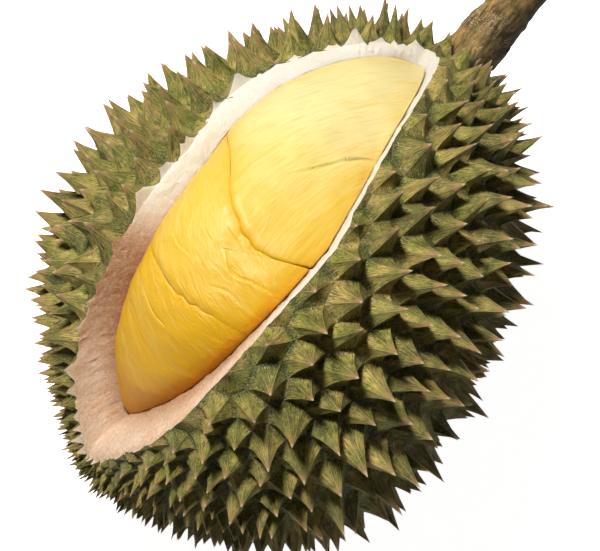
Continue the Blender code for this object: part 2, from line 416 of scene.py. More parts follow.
def edgeDrift(edge, u):
    # how far the middle of an opening wanders round the fruit, and how much wider it gets
    blossomward = np.minimum(u, 0) ** 4
    stemward = np.maximum(u, 0) * (1 - u * u)
    drift = edge["blossomSkew"] * blossomward + edge["stemSkew"] * stemward
    return drift, 1 + edge["blossomFlare"] * blossomward + edge["stemFlare"] * stemward


def edgeHalf(edge, turn):
    u = np.cos(turn)
    power = edge["stemPower"] + (edge["blossomPower"] - edge["stemPower"]) * (1 - u) / 2
    return np.copysign(np.maximum(1 - np.abs(u) ** power, 0.0) ** (1 / power), np.sin(turn))


def leftShare(edge, u):
    return 1 + edge["leftGain"] * np.exp(-((u - edge["leftAt"]) / edge["leftReach"]) ** 2)


def edgePlace(edge, turn, share=1.0):
    u = np.cos(turn)
    skew, flare = edgeDrift(edge, u)
    side = edgeHalf(edge, turn)
    side = np.where(side < 0, side * leftShare(edge, u), side)
    station = edge["station"] + edge["halfLength"] * u * share
    return station, edge["angle"] + (skew + edge["halfAngle"] * side * flare) * share


def edgeSide(edge, u, angle):
    u = np.clip(u, -1, 1)
    skew, flare = edgeDrift(edge, u)
    side = (angle - edge["angle"] - skew) / (edge["halfAngle"] * flare)
    return np.where(side < 0, side / leftShare(edge, u), side)


def windowShare(edge, station, angle):
    # 0 in the middle of an opening, 1 at its edge
    u = (station - edge["station"]) / edge["halfLength"]
    side = edgeSide(edge, u, angle)
    power = edge["stemPower"] + (edge["blossomPower"] - edge["stemPower"]) * np.clip(1 - u, 0, 2) / 2
    return (np.abs(u) ** power + np.abs(side) ** power) ** (1 / power)


def wallDepth(u, side):
    # thickest at the blossom end, thin on the left of the stem half
    # side runs from -1 on the left to 1 on the right
    left = smoothStep(-side) * smoothStep((u - wall["leftFrom"]) / wall["leftSpan"])
    ends = np.where(u > 0, wall["stemExtra"], wall["blossomExtra"]) * u * u
    return wall["depth"] + ends + wall["leftExtra"] * left


def edgeRing(edge, turn, height, share=1.0):
    station, angle = edgePlace(edge, turn, share)
    return offSkin(station, angle, height + 0 * turn)


def bowlRing(ring, share, depth):
    middle = ring.mean(axis=0)
    drop = np.array([0, 0, depth * math.sin(share * math.pi / 2)])
    return middle + (ring - middle) * math.cos(share * math.pi / 2) - drop


def windowCutter():
    crown = np.linspace(-2, -1, wall["crownRows"], endpoint=False)
    sliced = np.linspace(-1, 0, wall["thornRows"], endpoint=False)
    cut = np.linspace(0, 1, wall["wallRows"], endpoint=False)
    bowl = np.linspace(1, 2, wall["bowlRows"] + 1)
    levels = np.concatenate([crown, sliced, cut, bowl])
    rows = len(levels) - 1
    cutter, row, column = roundShell("windowCutter", wall["columns"], rows)
    turn = math.tau * (np.arange(wall["columns"]) + 0.5) / wall["columns"]
    rim = edgeRing(window, turn, 0.0)
    rimPlace, footPlace = np.array(edgePlace(window, turn)), np.array(edgePlace(chamber, turn))
    depth = wallDepth(np.cos(turn), edgeHalf(chamber, turn))
    foot = offSkin(*footPlace, -depth)
    grid = np.empty((rows + 1, wall["columns"], 3))
    for r, level in enumerate(levels):
        if level < -1:
            grid[r] = edgeRing(window, turn, wall["reach"], level + 2)
        elif level < 0:
            grid[r] = edgeRing(window, turn, -level * wall["reach"])
        elif level <= 1:
            grid[r] = offSkin(*(rimPlace + (footPlace - rimPlace) * level ** wall["round"]), -depth * level)
        else:
            grid[r] = bowlRing(foot, level - 1, wall["floorDepth"])
    closeEnds(grid)

    along = np.roll(grid, -1, axis=1) - np.roll(grid, 1, axis=1)
    down = np.gradient(grid, axis=0)
    normal = unit(np.cross(down, along))
    ends = np.zeros((rows + 1, 1))
    ends[:, 0] = smoothStep((levels + 1.05) / 0.3) * smoothStep((2.0 - levels) / 0.2)
    tall = np.outer(np.repeat(levels, wall["columns"]), (0, 0, 1))
    ringPlace = np.tile(rim, (rows + 1, 1))
    lumps = ripple(ringPlace + tall * wall["lumpStretch"] * mm, wall["lumpSize"])
    fibres = ripple(ringPlace + tall * wall["fibreStretch"] * mm, wall["fibreSize"], 4.0)
    fibres += wall["grit"] * ripple(grid.reshape(-1, 3), wall["gritSize"], 2.0)
    lumps, fibres = lumps.reshape(rows + 1, -1), fibres.reshape(rows + 1, -1)
    inside = smoothStep(levels / 0.08)[:, None]
    shift = ends * (0.35 + 0.65 * inside) * (wall["lumps"] * lumps + wall["fibres"] * fibres)
    grid = grid + normal * shift[..., None]
    writePlaces(cutter.data, grid[row, column])
    marks = readUv(cutter.data)
    marks[:, 1] = levels[np.rint((1 - marks[:, 1]) * rows).astype(int)]
    writeUv(cutter.data, marks)
    faceOutward(cutter)
    return cutter


def cutAway(item, tool):
    pickOnly(item)
    modifier = item.modifiers.new("cut", "BOOLEAN")
    modifier.operation = "DIFFERENCE"
    modifier.solver = "EXACT"
    modifier.material_mode = "TRANSFER"
    modifier.object = tool
    bpy.ops.object.modifier_apply(modifier="cut")
    bpy.data.objects.remove(tool, do_unlink=True)


# Flesh: three arils in a row. Their outlines and folds are laid out on the skin's own map,
# X along the core and Y around it, in millimetres.

flesh = {
    "around": 0.078,      # what one radian round the core measures on the map
    "dome": 0.0105,
    "domePower": 2.86,
    "inset": 0.4 * mm,
    "rightRise": 0.5,     # the flesh climbs the wall on the right of the core
    "rows": 190,
    "columns": 380,
    "belowRows": 36,
    "belowDepth": 0.030,
    "waves": 0.9 * mm,
    "fibres": 0.05 * mm,
    "crease": 0.015 * mm,  # half the gap between neighbours
    "creaseLeast": 0.25,   # how deep a crease stays towards its ends
    "stemCreaseAt": (-3, 14),      # where across the map it is deepest, and its reach
    "blossomCreaseAt": (8, 18),
    "longest": 160,        # no outline lies further than this from its aril's middle
}
# where one aril rolls over the next: Y, X
stemCrease = ((-38, -6), (-12, -24), (6, -17), (22, 2), (46, 20))
blossomCrease = ((-38, -51), (-18, -55), (4, -57), (22, -50), (46, -38))
# folds: points on the map, width, height of the lip
folds = (
    (((-32, -1), (-38, -8), (-36, -15), (-34, -23)), 2, 1.1),
    (((-38, 19), (-41, 14), (-42, 8)), 1.3, 0.7),
    (((6, 1), (20, -6), (30, -11), (40, -19)), 1.7, -1.15),
    (((-25, 3), (-28, -6)), 1.3, 0.6),
    (((-48, -4), (-45, -11), (-46, -18)), 2.6, 0.5),
    (((-62, 20), (-68, 10), (-70, 1)), 2.4, 0.45),
)
arils = (
    {"name": "stemEndAril", "node": "stem_end_aril", "slot": "pale_flesh", "middle": (36, 10),
     "grainCentre": (-10, -130), "deepening": 0.0, "wrinkling": 0.8},
    {"name": "middleAril", "node": "middle_aril", "slot": "golden_flesh", "middle": (-36, 5),
     "grainCentre": (4, -30), "deepening": 0.05, "wrinkling": 1.7},
    {"name": "blossomEndAril", "node": "blossom_end_aril", "slot": "deep_flesh", "middle": (-76, 9),
     "grainCentre": (-8, -24), "deepening": 0.12, "wrinkling": 1.8},
)


def curveThrough(points, steps=8):
    # a smooth curve that passes through every point
    points = np.array(points, float)
    held = np.vstack([2 * points[0] - points[1], points, 2 * points[-1] - points[-2]])
    t = (np.arange(steps) / steps)[:, None]
    spans = []
    for a, b, c, d in zip(held, held[1:], held[2:], held[3:]):
        spans.append(b + 0.5 * t * (c - a + t * (2 * a - 5 * b + 4 * c - d + t * (3 * (b - c) + d - a))))
    return np.vstack(spans + [points[-1:]])


def creaseAt(crease, across):
    ys, xs = curveThrough(crease).T
    wander = 0.5 * np.sin(across * 0.9) * np.exp(-((across + 2) / 9) ** 2)
    return np.interp(across, ys, xs) + wander


def edgeShare(x, y):
    # 0 in the middle of the chamber's mouth, 1 at its edge
    station, angle = x * mm / fruit["halfLength"], -y * mm / flesh["around"]
    return windowShare(chamber, station, angle), (station - chamber["station"]) / chamber["halfLength"]


def insideAril(index, x, y):
    share, _ = edgeShare(x, y)
    inside = share < 1
    half = flesh["crease"] / mm
    if index == 0:
        inside &= x > creaseAt(stemCrease, y) + half
    if index == 1:
        inside &= (x < creaseAt(stemCrease, y) - half) & (x > creaseAt(blossomCrease, y) + half)
    if index == 2:
        inside &= x < creaseAt(blossomCrease, y) - half
    return inside


def foldHeight(x, y):
    # a lip on one side of each fold's line, and a narrow groove along the line
    lift = np.zeros_like(x)
    for points, width, height in folds:
        best = np.full_like(x, 1e9)
        signed = np.zeros_like(x)
        taper = np.zeros_like(x)
        points = curveThrough(points)
        for k, (a, b) in enumerate(zip(points, points[1:])):
            d = b - a
            t = np.clip(((x - a[0]) * d[0] + (y - a[1]) * d[1]) / (d @ d), 0, 1)
            gap = np.hypot(x - a[0] - t * d[0], y - a[1] - t * d[1])
            side = np.sign((x - a[0]) * d[1] - (y - a[1]) * d[0])
            near = gap < best
            best = np.where(near, gap, best)
            signed = np.where(near, gap * side, signed)
            taper = np.where(near, (k + t) / (len(points) - 1), taper)
        fade = np.sin(np.clip(taper, 0, 1) * math.pi) ** 0.6
        lip = np.where(signed > 0, np.exp(-signed / width), 0)
        groove = np.exp(-(signed / (0.3 * width)) ** 2) * 0.7
        lift += height * fade * (lip - groove)
    return lift


def rolled(gap, width):
    # a quarter round: 1 at no gap, 0 from this width on
    return 1 - np.sqrt(1 - np.clip(1 - np.abs(gap) / width, 0, 1) ** 2)


def creaseShare(y, middle, reach):
    # 1 where a crease is deepest, less towards its ends
    least = flesh["creaseLeast"]
    return least + (1 - least) * np.exp(-((y - middle) / reach) ** 2)


def fleshDepth(index, x, y):
    # how far the flesh lies under the skin, in metres
    share, u = edgeShare(x, y)
    rightward = smoothStep((8 - y) / 24) * smoothStep((u + 0.75) / 0.5)
    side = edgeSide(chamber, u, -y * mm / flesh["around"])
    atWall = wallDepth(np.clip(u, -1, 1), np.clip(side, -1, 1))
    depth = atWall * (1 - flesh["rightRise"] * rightward * share ** 2)
    dome = flesh["dome"] * np.minimum(atWall / wall["depth"], 1) * (1 - 0.35 * rightward)
    depth -= dome * np.clip(1 - share ** flesh["domePower"], 0, 1) ** 0.72
    stemGap = x - creaseAt(stemCrease, y)
    blossomGap = x - creaseAt(blossomCrease, y)
    stemFold = creaseShare(y, *flesh["stemCreaseAt"])
    blossomFold = creaseShare(y, *flesh["blossomCreaseAt"])
    if index == 0:
        depth += stemFold * 1.6 * mm * rolled(stemGap, 5.0) + 0.2 * mm * rolled(stemGap, 1.2)
        depth -= stemFold * 0.6 * mm
    else:
        depth += stemFold * (0.9 * mm * np.exp(-np.abs(stemGap) / 9) + 0.3 * mm * rolled(stemGap, 1.4))
    if index == 1:
        depth += blossomFold * 1.5 * mm * rolled(blossomGap, 4.5)
    if index == 2:
        depth += blossomFold * 0.9 * mm * np.exp(-np.abs(blossomGap) / 8)
        depth += blossomFold * 0.3 * mm * rolled(blossomGap, 1.4)
    depth -= foldHeight(x, y) * mm
    return depth


def arilReach(index, cx, cy, dx, dy):
    # how far the aril runs from its middle in each direction, found by halving the last step
    steps = np.linspace(1, flesh["longest"], 640)
    hits = np.array([insideAril(index, cx + dx * s, cy + dy * s) for s in steps])
    first = np.argmin(hits, axis=0)
    near, far = steps[np.maximum(first - 1, 0)], steps[first]
    for _ in range(20):
        middle = (near + far) / 2
        ok = insideAril(index, cx + dx * middle, cy + dy * middle)
        near, far = np.where(ok, middle, near), np.where(ok, far, middle)
    return near


def pullIn(x, y, share):
    # keeps the flesh clear of the wall, as a move towards the chamber's middle
    inset = flesh["inset"] * smoothStep((share - 0.8) / 0.2)
    middleX = chamber["station"] * fruit["halfLength"] / mm
    middleY = -chamber["angle"] * flesh["around"] / mm
    pull = 1 - inset / mm / np.maximum(np.hypot(x - middleX, y - middleY), 1)
    return middleX + (x - middleX) * pull, middleY + (y - middleY) * pull


def growAril(index, aril, down):
    columns, rows = flesh["columns"], flesh["rows"]
    piece, row, column = roundShell(aril["name"], columns, rows)
    turn = math.tau * np.arange(columns) / columns
    cx, cy = aril["middle"]
    dx, dy = np.cos(turn), np.sin(turn)
    reach = arilReach(index, cx, cy, dx, dy)
    topRows = rows - flesh["belowRows"]
    grid = np.empty((rows + 1, columns, 3))
    s = 1 - (1 - np.minimum(np.arange(rows + 1) / topRows, 1.0)) ** 1.25
    x, y = cx + dx * reach * s[:, None], cy + dy * reach * s[:, None]
    top = slice(0, topRows + 1)
    depth = fleshDepth(index, x[top], y[top])
    share, _ = edgeShare(x[top], y[top])
    px, py = pullIn(x[top], y[top], share)
    grid[top] = offSkin(px * mm / fruit["halfLength"], -py * mm / flesh["around"], -depth)
    edge = grid[topRows]
    centre = edge.mean(axis=0)
    for r in range(topRows + 1, rows + 1):
        b = (r - topRows) / flesh["belowRows"] * math.pi / 2
        grid[r] = centre + (edge - centre) * math.cos(b) - np.array([0, 0, flesh["belowDepth"] * math.sin(b)])
    closeEnds(grid)

    # fibres run in arcs round a centre of their own
    gx, gy = aril["grainCentre"]
    away = np.hypot(x - gx, y - gy)
    bearing = np.arctan2(y - gy, x - gx)
    grain = np.stack([bearing * 60, away, np.full_like(away, 7.0 * index)], -1).reshape(-1, 3)
    flat = grid.reshape(-1, 3)
    fine = ripple(grain * (0.10, 0.62, 1), 1.0) + 0.6 * ripple(grain * (0.2, 1.5, 1), 1.0, 3.0)
    broad = ripple(flat, 26 * mm, 5.0) + 0.45 * ripple(flat, 9 * mm, 1.0)
    gaps = [np.abs(x - creaseAt(crease, y)) for crease in (stemCrease, blossomCrease)]
    calm = np.ones((rows + 1, columns))
    calm[top] = 0.25 + 0.75 * smoothStep((1 - share) / 0.12)
    for gap in gaps:
        calm *= 0.3 + 0.7 * smoothStep(gap / 4)
    calm[topRows + 1:] = 0.25
    around = np.roll(grid, -1, axis=1) - np.roll(grid, 1, axis=1)
    normal = unit(np.cross(np.gradient(grid, axis=0), around))
    normal[0] = (0, 0, 1)
    normal[-1] = (0, 0, -1)
    shift = calm.ravel() * (flesh["waves"] * broad + flesh["fibres"] * fine)
    grid = grid + normal * shift.reshape(rows + 1, columns)[..., None]
    closeEnds(grid)

    mesh = piece.data
    writePlaces(mesh, grid[row, column] + down)
    addField(mesh, "grain", grain.reshape(rows + 1, columns, 3)[row, column])
    close = np.ones((rows + 1, columns))
    close[top] = smoothStep((share - 0.55) / 0.45)
    addField(mesh, "close", close[row, column])
    # fold: nearness to the creases between arils, used to paint shade into them
    nearest = np.minimum(*gaps)
    addField(mesh, "fold", (0.45 * np.exp(-nearest / 1.6) + 0.55 * np.exp(-nearest / 8))[row, column])
    faceOutward(piece)
    bpy.ops.object.shade_smooth()
    return piece


# Stalk with a swollen joint of peeling bark

stalk = {
    "seat": 0.0080,
    "gap": 0.0003,
    # distance from the root, rise, radius
    "path": ((0, 0, 9.2), (14, 0, 9.3), (20, 0.2, 10.2), (26, 0.4, 11.6), (33, 0.8, 12.0), (40, 1.5, 11.3),
             (47, 2.2, 10.5), (56, 3.1, 10.0), (66, 4.1, 9.9), (80, 5.0, 10.1)),
    "columns": 150,
    "rows": 210,
    "capRows": 12,
    "ridges": 0.16 * mm,
    "flakes": 0.42 * mm,
    "lumps": 0.45 * mm,
    "torn": 0.22 * mm,
    "jointAt": 36 * mm,
    "jointReach": 8 * mm,
    # raised and sunken rings round the joint: place, width, height
    "rings": ((24.5, 1.3, 0.5), (47.5, 1.1, 0.45), (51, 1.2, -0.35)),
    "dish": 0.5 * mm,     # how far the cut end is hollowed
}


def smoothAlong(along, path, values):
    fine = np.linspace(0, path[-1, 0], 400)
    rough = np.pad(np.interp(fine, path[:, 0], values), 16, mode="edge")
    kernel = np.hanning(33)
    return np.interp(along, fine, np.convolve(rough, kernel / kernel.sum(), "valid"))


def makeStalk(down):
    columns, rows, caps = stalk["columns"], stalk["rows"], stalk["capRows"]
    piece, row, column = roundShell("stalkPiece", columns, rows)
    path = np.array(stalk["path"]) * mm
    length = path[-1, 0]
    turn = math.tau * np.arange(columns) / columns
    sideRows = rows - 2 * caps
    step = np.arange(rows + 1)
    along = np.clip((step - caps) / sideRows, 0, 1) * length
    shrink = np.minimum(np.minimum(step, rows - step) / caps, 1.0)
    rise, radius = smoothAlong(along, path, path[:, 1]), smoothAlong(along, path, path[:, 2])
    ring = np.stack([np.zeros(columns), np.cos(turn), np.sin(turn)], -1)
    grid = ring[None] * (radius * shrink)[:, None, None]
    grid[..., 0] += along[:, None]
    grid[..., 2] += rise[:, None]
    flat = grid.reshape(-1, 3)
    wide = ripple(flat, 11 * mm, 2.0)
    lengthwise = ripple(flat * np.array([0.16, 1, 1]), 1.5 * mm, 6.0)
    scales = ripple(flat * np.array([0.75, 1, 1]), 2.3 * mm, 8.0)
    torn = ripple(flat * np.array([1.4, 1, 1]), 1.1 * mm, 3.0)
    where = np.repeat(along, columns)
    joint = np.exp(-((where - stalk["jointAt"]) / stalk["jointReach"]) ** 2)
    joint = smoothStep(joint * 1.5 + 0.5 * ripple(flat, 6 * mm, 1.0) - 0.25)
    shift = stalk["lumps"] * wide + stalk["ridges"] * lengthwise * (1 - 0.5 * joint)
    stepped = np.floor(scales * 3.2) / 3.2 + 0.5 * scales
    shift += joint * (stalk["flakes"] * stepped + stalk["torn"] * torn)
    for middle, width, height in stalk["rings"]:
        shift += height * mm * np.exp(-((where - (middle + 1.2 * wide) * mm) / (width * mm)) ** 2)
    sides = np.repeat(np.where(shrink >= 1, 1.0, 0.0), columns)
    rooted = smoothStep((where - stalk["seat"] - 1 * mm) / (3 * mm))
    normal = np.tile(ring, (rows + 1, 1))
    flat = flat + normal * (shift * sides * rooted)[:, None]
    grid = flat.reshape(rows + 1, columns, 3)
    outer = grid[rows - caps]
    middle = outer.mean(axis=0)
    for r in range(rows - caps, rows + 1):
        grid[r] = middle + (outer - middle) * shrink[r]
        grid[r, :, 0] -= stalk["dish"] * max(shrink[r] * caps - caps + 1, 0)
    outer, middle = grid[caps].copy(), grid[caps].mean(axis=0)
    for r in range(caps + 1):
        grid[r] = middle + (outer - middle) * shrink[r]
    closeEnds(grid)
    root = np.array([fruit["halfLength"] - stalk["seat"] + stalk["gap"], 0, 0])
    writePlaces(piece.data, grid[row, column] + root + down)
    addField(piece.data, "joint", joint.reshape(rows + 1, columns)[row, column])
    ends = np.repeat(shrink, columns).reshape(rows + 1, columns)
    addField(piece.data, "cutEnd", (1 - ends[row, column]) * (row > rows / 2))
    faceOutward(piece)
    bpy.ops.object.shade_smooth_by_angle(angle=math.radians(50))
    return piece


# Shader helpers

def colour(red, green, blue):
    # from screen values to the renderer's own
    parts = [c / 255 for c in (red, green, blue)]
    return tuple(c / 12.92 if c <= 0.04045 else ((c + 0.055) / 1.055) ** 2.4 for c in parts) + (1.0,)


def put(tree, kind, inputs=None, **settings):
    made = tree.nodes.new(kind)
    for name, value in settings.items():
        setattr(made, name, value)
    for key, value in (inputs or {}).items():
        if isinstance(value, bpy.types.NodeSocket):
            tree.links.new(value, made.inputs[key])
        else:
            made.inputs[key].default_value = value
    return made


def sums(tree, operation, a, b=0.0, c=0.0):
    return put(tree, "ShaderNodeMath", {0: a, 1: b, 2: c}, operation=operation).outputs[0]


def times(tree, first, *others):
    for other in others:
        first = sums(tree, "MULTIPLY", first, other)
    return first


def weighted(tree, *terms):
    # the terms added up, each by its own weight
    total = times(tree, *terms[0])
    for value, weight in terms[1:]:
        total = sums(tree, "MULTIPLY_ADD", value, weight, total)
    return total


def paint(tree, base, tones, layers):
    # lays tones over the base one after another: tone, where it lies, how strongly
    for tone, share, amount in layers:
        if amount < 1:
            share = times(tree, share, amount)
        made = put(tree, "ShaderNodeMix", {0: share, 6: base, 7: tones[tone]}, data_type="RGBA")
        base = made.outputs[2]
    return base


def band(tree, value, low, high):
    # 0 below low, 1 above high, smooth between; low may lie above high
    made = put(tree, "ShaderNodeMapRange", {0: value, 1: low, 2: high, 3: 0.0, 4: 1.0},
               interpolation_type="SMOOTHSTEP")
    return made.outputs[0]


def stretched(tree, vector, factors):
    made = put(tree, "ShaderNodeVectorMath", {0: vector, 1: factors}, operation="MULTIPLY")
    return made.outputs[0]


def partsOf(tree, vector):
    return put(tree, "ShaderNodeSeparateXYZ", {0: vector}).outputs


def hereOn(tree):
    return put(tree, "ShaderNodeTexCoord").outputs["Object"]


def useGroup(tree, group, **inputs):
    return put(tree, "ShaderNodeGroup", inputs, node_tree=group).outputs


def drawFor(tree, number):
    # a random value from 0 to 1 for each number
    return put(tree, "ShaderNodeTexWhiteNoise", {"W": number}, noise_dimensions="1D").outputs[0]


def fieldOf(tree, name, kind="Fac"):
    return put(tree, "ShaderNodeAttribute", attribute_name=name).outputs[kind]


def noiseAt(tree, vector, scale, detail=3.0, roughness=0.55, distortion=0.0):
    made = put(tree, "ShaderNodeTexNoise", {"Vector": vector, "Scale": scale, "Detail": detail,
                                            "Roughness": roughness, "Distortion": distortion})
    return made.outputs[0]


def newGroup(name, inputs, outputs):
    group = bpy.data.node_groups.new(name, "ShaderNodeTree")
    for label, kind, value in inputs:
        socket = group.interface.new_socket(label, in_out="INPUT", socket_type=kind)
        if value is not None:
            socket.default_value = value
    for label, kind in outputs:
        group.interface.new_socket(label, in_out="OUTPUT", socket_type=kind)
    return group, group.nodes.new("NodeGroupInput").outputs, group.nodes.new("NodeGroupOutput").inputs


def fibreGroup():
    # long soft strands: X runs along them, Y across
    group, take, give = newGroup(
        "fibres",
        [("Vector", "NodeSocketVector", None), ("Along", "NodeSocketFloat", 0.1),
         ("Across", "NodeSocketFloat", 1.0)],
        [("Broad", "NodeSocketFloat"), ("Fine", "NodeSocketFloat")])
    scale = put(group, "ShaderNodeCombineXYZ", {0: take["Along"], 1: take["Across"], 2: take["Across"]})
    drawn = stretched(group, take["Vector"], scale.outputs[0])
    group.links.new(noiseAt(group, drawn, 0.45, 2.0, 0.5, 0.6), give["Broad"])
    group.links.new(noiseAt(group, drawn, 1.7, 4.0, 0.6, 0.4), give["Fine"])
    return group


def speckleGroup():
    # blotches, fine grain and small dark dots
    group, take, give = newGroup(
        "speckle",
        [("Vector", "NodeSocketVector", None), ("Size", "NodeSocketFloat", 1.0)],
        [("Blotch", "NodeSocketFloat"), ("Grain", "NodeSocketFloat"), ("Dots", "NodeSocketFloat")])
    scaled = put(group, "ShaderNodeVectorMath", {0: take["Vector"], "Scale": take["Size"]},
                 operation="SCALE").outputs[0]
    group.links.new(noiseAt(group, scaled, 90.0, 4.0, 0.6, 0.3), give["Blotch"])
    group.links.new(noiseAt(group, scaled, 900.0, 3.0, 0.65), give["Grain"])
    cells = put(group, "ShaderNodeTexVoronoi", {"Vector": scaled, "Scale": 850.0, "Randomness": 1.0})
    group.links.new(band(group, cells.outputs["Distance"], 0.28, 0.12), give["Dots"])
    return group


def startMaterial(name, **constants):
    material = bpy.data.materials.new(name)
    material.use_nodes = True
    tree = material.node_tree
    shader = tree.nodes["Principled BSDF"]
    for label, value in constants.items():
        shader.inputs[label.replace("_", " ")].default_value = value
    return material, tree, shader


def surface(tree, shader, base, relief, strength, depth):
    tree.links.new(base, shader.inputs["Base Color"])
    bump = put(tree, "ShaderNodeBump", {"Strength": strength, "Distance": depth, "Height": relief})
    tree.links.new(bump.outputs[0], shader.inputs["Normal"])


skinTone = {
    "olive": colour(138, 144, 52),
    "gold": colour(226, 192, 108),
    "green": colour(54, 68, 26),
    "deepGreen": colour(22, 33, 13),
    "brown": colour(98, 76, 24),
    "seam": colour(128, 146, 85),
    "ridge": colour(238, 208, 144),
    "tip": colour(190, 151, 97),
    "point": colour(233, 208, 165),
    "dot": colour(68, 56, 25),
    "roughness": 0.5,
}


def skinMaterial(speckle):
    material, tree, shader = startMaterial("thornySkin", Specular_IOR_Level=0.3)
    u, high, _ = partsOf(tree, put(tree, "ShaderNodeUVMap", uv_map="place").outputs[0])
    flat = sums(tree, "SUBTRACT", u, times(tree, high, 0.5))
    whole = sums(tree, "FLOOR", sums(tree, "ADD", flat, 0.0005))
    below = sums(tree, "SUBTRACT", 1.0, high)
    across = sums(tree, "SUBTRACT", flat, whole)     # 0 at one ridge
    other = sums(tree, "SUBTRACT", below, across)    # 0 at the other
    toRidge = sums(tree, "MINIMUM", across, other)
    facetDraw = drawFor(tree, whole)
    cell = sums(tree, "FLOOR", sums(tree, "DIVIDE", sums(tree, "ADD", whole, 0.5), thorns["mapSlots"]))
    cellDraw = drawFor(tree, cell)
    here = hereOn(tree)
    blotch, grain, dots = useGroup(tree, speckle, Vector=here, Size=1.0)

    # fine lines fan out from the point
    spread = sums(tree, "DIVIDE", across, sums(tree, "MAXIMUM", below, 0.04))
    fan = put(tree, "ShaderNodeCombineXYZ", {0: times(tree, spread, 16.0), 1: times(tree, high, 3.0),
                                             2: whole}).outputs[0]
    lines = noiseAt(tree, fan, 1.0, 3.0, 0.6)
    hairs = noiseAt(tree, fan, 3.0, 3.0, 0.65)

    facetMiddle = times(tree, band(tree, toRidge, 0.03, 0.24), band(tree, high, 0.1, 0.8))
    # pale line along each ridge: partly the ridge's own tan colour, partly a painted highlight where light
    # catches the rounded ridge
    ridge = times(tree, band(tree, toRidge, 0.022, 0.004), band(tree, high, 0.15, 0.9))
    seam = times(tree, band(tree, high, 0.03, 0.008), band(tree, noiseAt(tree, here, 160.0), 0.35, 0.6))
    tip = sums(tree, "ADD", high, times(tree, sums(tree, "SUBTRACT", blotch, 0.5), 0.25))
    # the green base shows below about a quarter of each thorn's height: partly the skin's own greener
    # valleys, partly painted shade between the thorns
    base = paint(tree, skinTone["green"], skinTone, (
        ("olive", band(tree, high, 0.0, 0.24), 1),
        ("gold", band(tree, blotch, 0.42, 0.68), 0.75),
        ("green", band(tree, blotch, 0.5, 0.3), 0.5),
        ("green", band(tree, cellDraw, 0.5, 1.0), 0.5),
        ("brown", band(tree, facetDraw, 0.4, 1.0), 0.42),
        ("gold", times(tree, facetMiddle, band(tree, blotch, 0.3, 0.6)), 0.7),
        ("deepGreen", band(tree, lines, 0.56, 0.38), 0.8),
        ("deepGreen", band(tree, hairs, 0.5, 0.34), 0.6),
        ("ridge", band(tree, hairs, 0.54, 0.68), 0.85),
        ("dot", dots, 0.35),
        ("ridge", band(tree, grain, 0.55, 0.75), 0.3),
        # painted highlight along the ridges, partly their own tan colour
        ("ridge", ridge, 0.6),
        ("seam", seam, 0.6),
        ("tip", band(tree, tip, 0.74, 0.92), 1),
        ("point", band(tree, high, 0.90, 0.96), 1)))
    rough = sums(tree, "MULTIPLY_ADD", grain, 0.3, skinTone["roughness"] - 0.1)
    tree.links.new(rough, shader.inputs["Roughness"])
    relief = weighted(tree, (lines, 1.3), (grain, 0.5), (hairs, 0.6), (dots, -0.15))
    surface(tree, shader, base, relief, 0.9, 0.55 * mm)
    return material


pithTone = {
    "cream": colour(255, 240, 222),
    "peach": colour(235, 195, 155),
    "pink": colour(204, 141, 88),
    "rust": colour(164, 102, 40),
    "rind": colour(206, 200, 120),
}


def pithMaterial(fibre, speckle):
    material, tree, shader = startMaterial(
        "pith", Roughness=0.8, Specular_IOR_Level=0.2,
        Subsurface_Weight=0.6, Subsurface_Scale=0.006, Subsurface_Radius=(1.0, 0.8, 0.6))
    turn, level, _ = partsOf(tree, put(tree, "ShaderNodeUVMap", uv_map="place").outputs[0])
    here = hereOn(tree)
    placeX, placeY, _ = partsOf(tree, here)
    grit = useGroup(tree, speckle, Vector=here, Size=1.0)["Grain"]
    laid = put(tree, "ShaderNodeCombineXYZ", {0: times(tree, level, 14.0), 1: times(tree, turn, 560.0),
                                              2: 0.0}).outputs[0]
    broad, fine = useGroup(tree, fibre, Vector=laid, Along=0.5, Across=1.9)
    blotch = noiseAt(tree, here, 45.0, 4.0, 0.6)

    coreX, coreY = float(setDown[0]), float(setDown[1])
    blossomward = band(tree, placeX, coreX - 0.026, coreX - 0.058)
    uneven = times(tree, sums(tree, "SUBTRACT", blotch, 0.5), 0.8)
    patchy = sums(tree, "MULTIPLY_ADD", band(tree, fine, 0.4, 0.62), 0.3, 0.36)
    strandy = sums(tree, "MULTIPLY_ADD", blossomward, 0.5, 0.2)
    gritty = sums(tree, "MULTIPLY_ADD", blossomward, 0.26, 0.06)
    # a bruise on the left, and close to the flesh on the right a darker rust tone, partly the pith's own
    # colour and partly painted shade where the flesh shades the cut
    bruise = times(tree, band(tree, placeX, coreX - 0.030, coreX - 0.050),
                   band(tree, placeX, coreX - 0.088, coreX - 0.060),
                   band(tree, placeY, coreY, coreY + 0.02))
    stainAndFleshShade = times(tree, band(tree, placeX, coreX - 0.004, coreX - 0.030),
                  band(tree, placeX, coreX - 0.112, coreX - 0.080),
                  band(tree, placeY, coreY, coreY - 0.01), band(tree, level, 0.1, 0.6))
    base = paint(tree, pithTone["cream"], pithTone, (
        ("peach", sums(tree, "MULTIPLY_ADD", blossomward, 0.85, uneven), 1),
        ("pink", times(tree, band(tree, fine, 0.5, 0.72), strandy), 1),
        ("cream", band(tree, broad, 0.55, 0.35), 0.35),
        # darker rust deep in the cut next to the flesh at the blossom end: partly the pith's own colour,
        # partly painted shade where the cut meets the flesh
        ("rust", times(tree, band(tree, level, 0.5, 1.0), blossomward), 0.5),
        ("rust", times(tree, bruise, patchy), 1),
        # partly painted shade next to the flesh on the right
        ("rust", times(tree, stainAndFleshShade, patchy), 1),
        ("pink", times(tree, band(tree, grit, 0.5, 0.36), gritty), 1),
        ("cream", band(tree, grit, 0.56, 0.7), 0.35),
        ("rind", band(tree, level, -0.12, -0.36), 0.7)))
    surface(tree, shader, base, weighted(tree, (fine, 1.0), (grit, 0.8)), 0.9, 1.2 * mm)
    return material


fleshTone = {
    "pale": colour(229, 212, 146),
    "middle": colour(224, 188, 76),
    "deep": colour(219, 165, 4),
    "edge": colour(224, 147, 4),
    "light": colour(241, 229, 181),
}


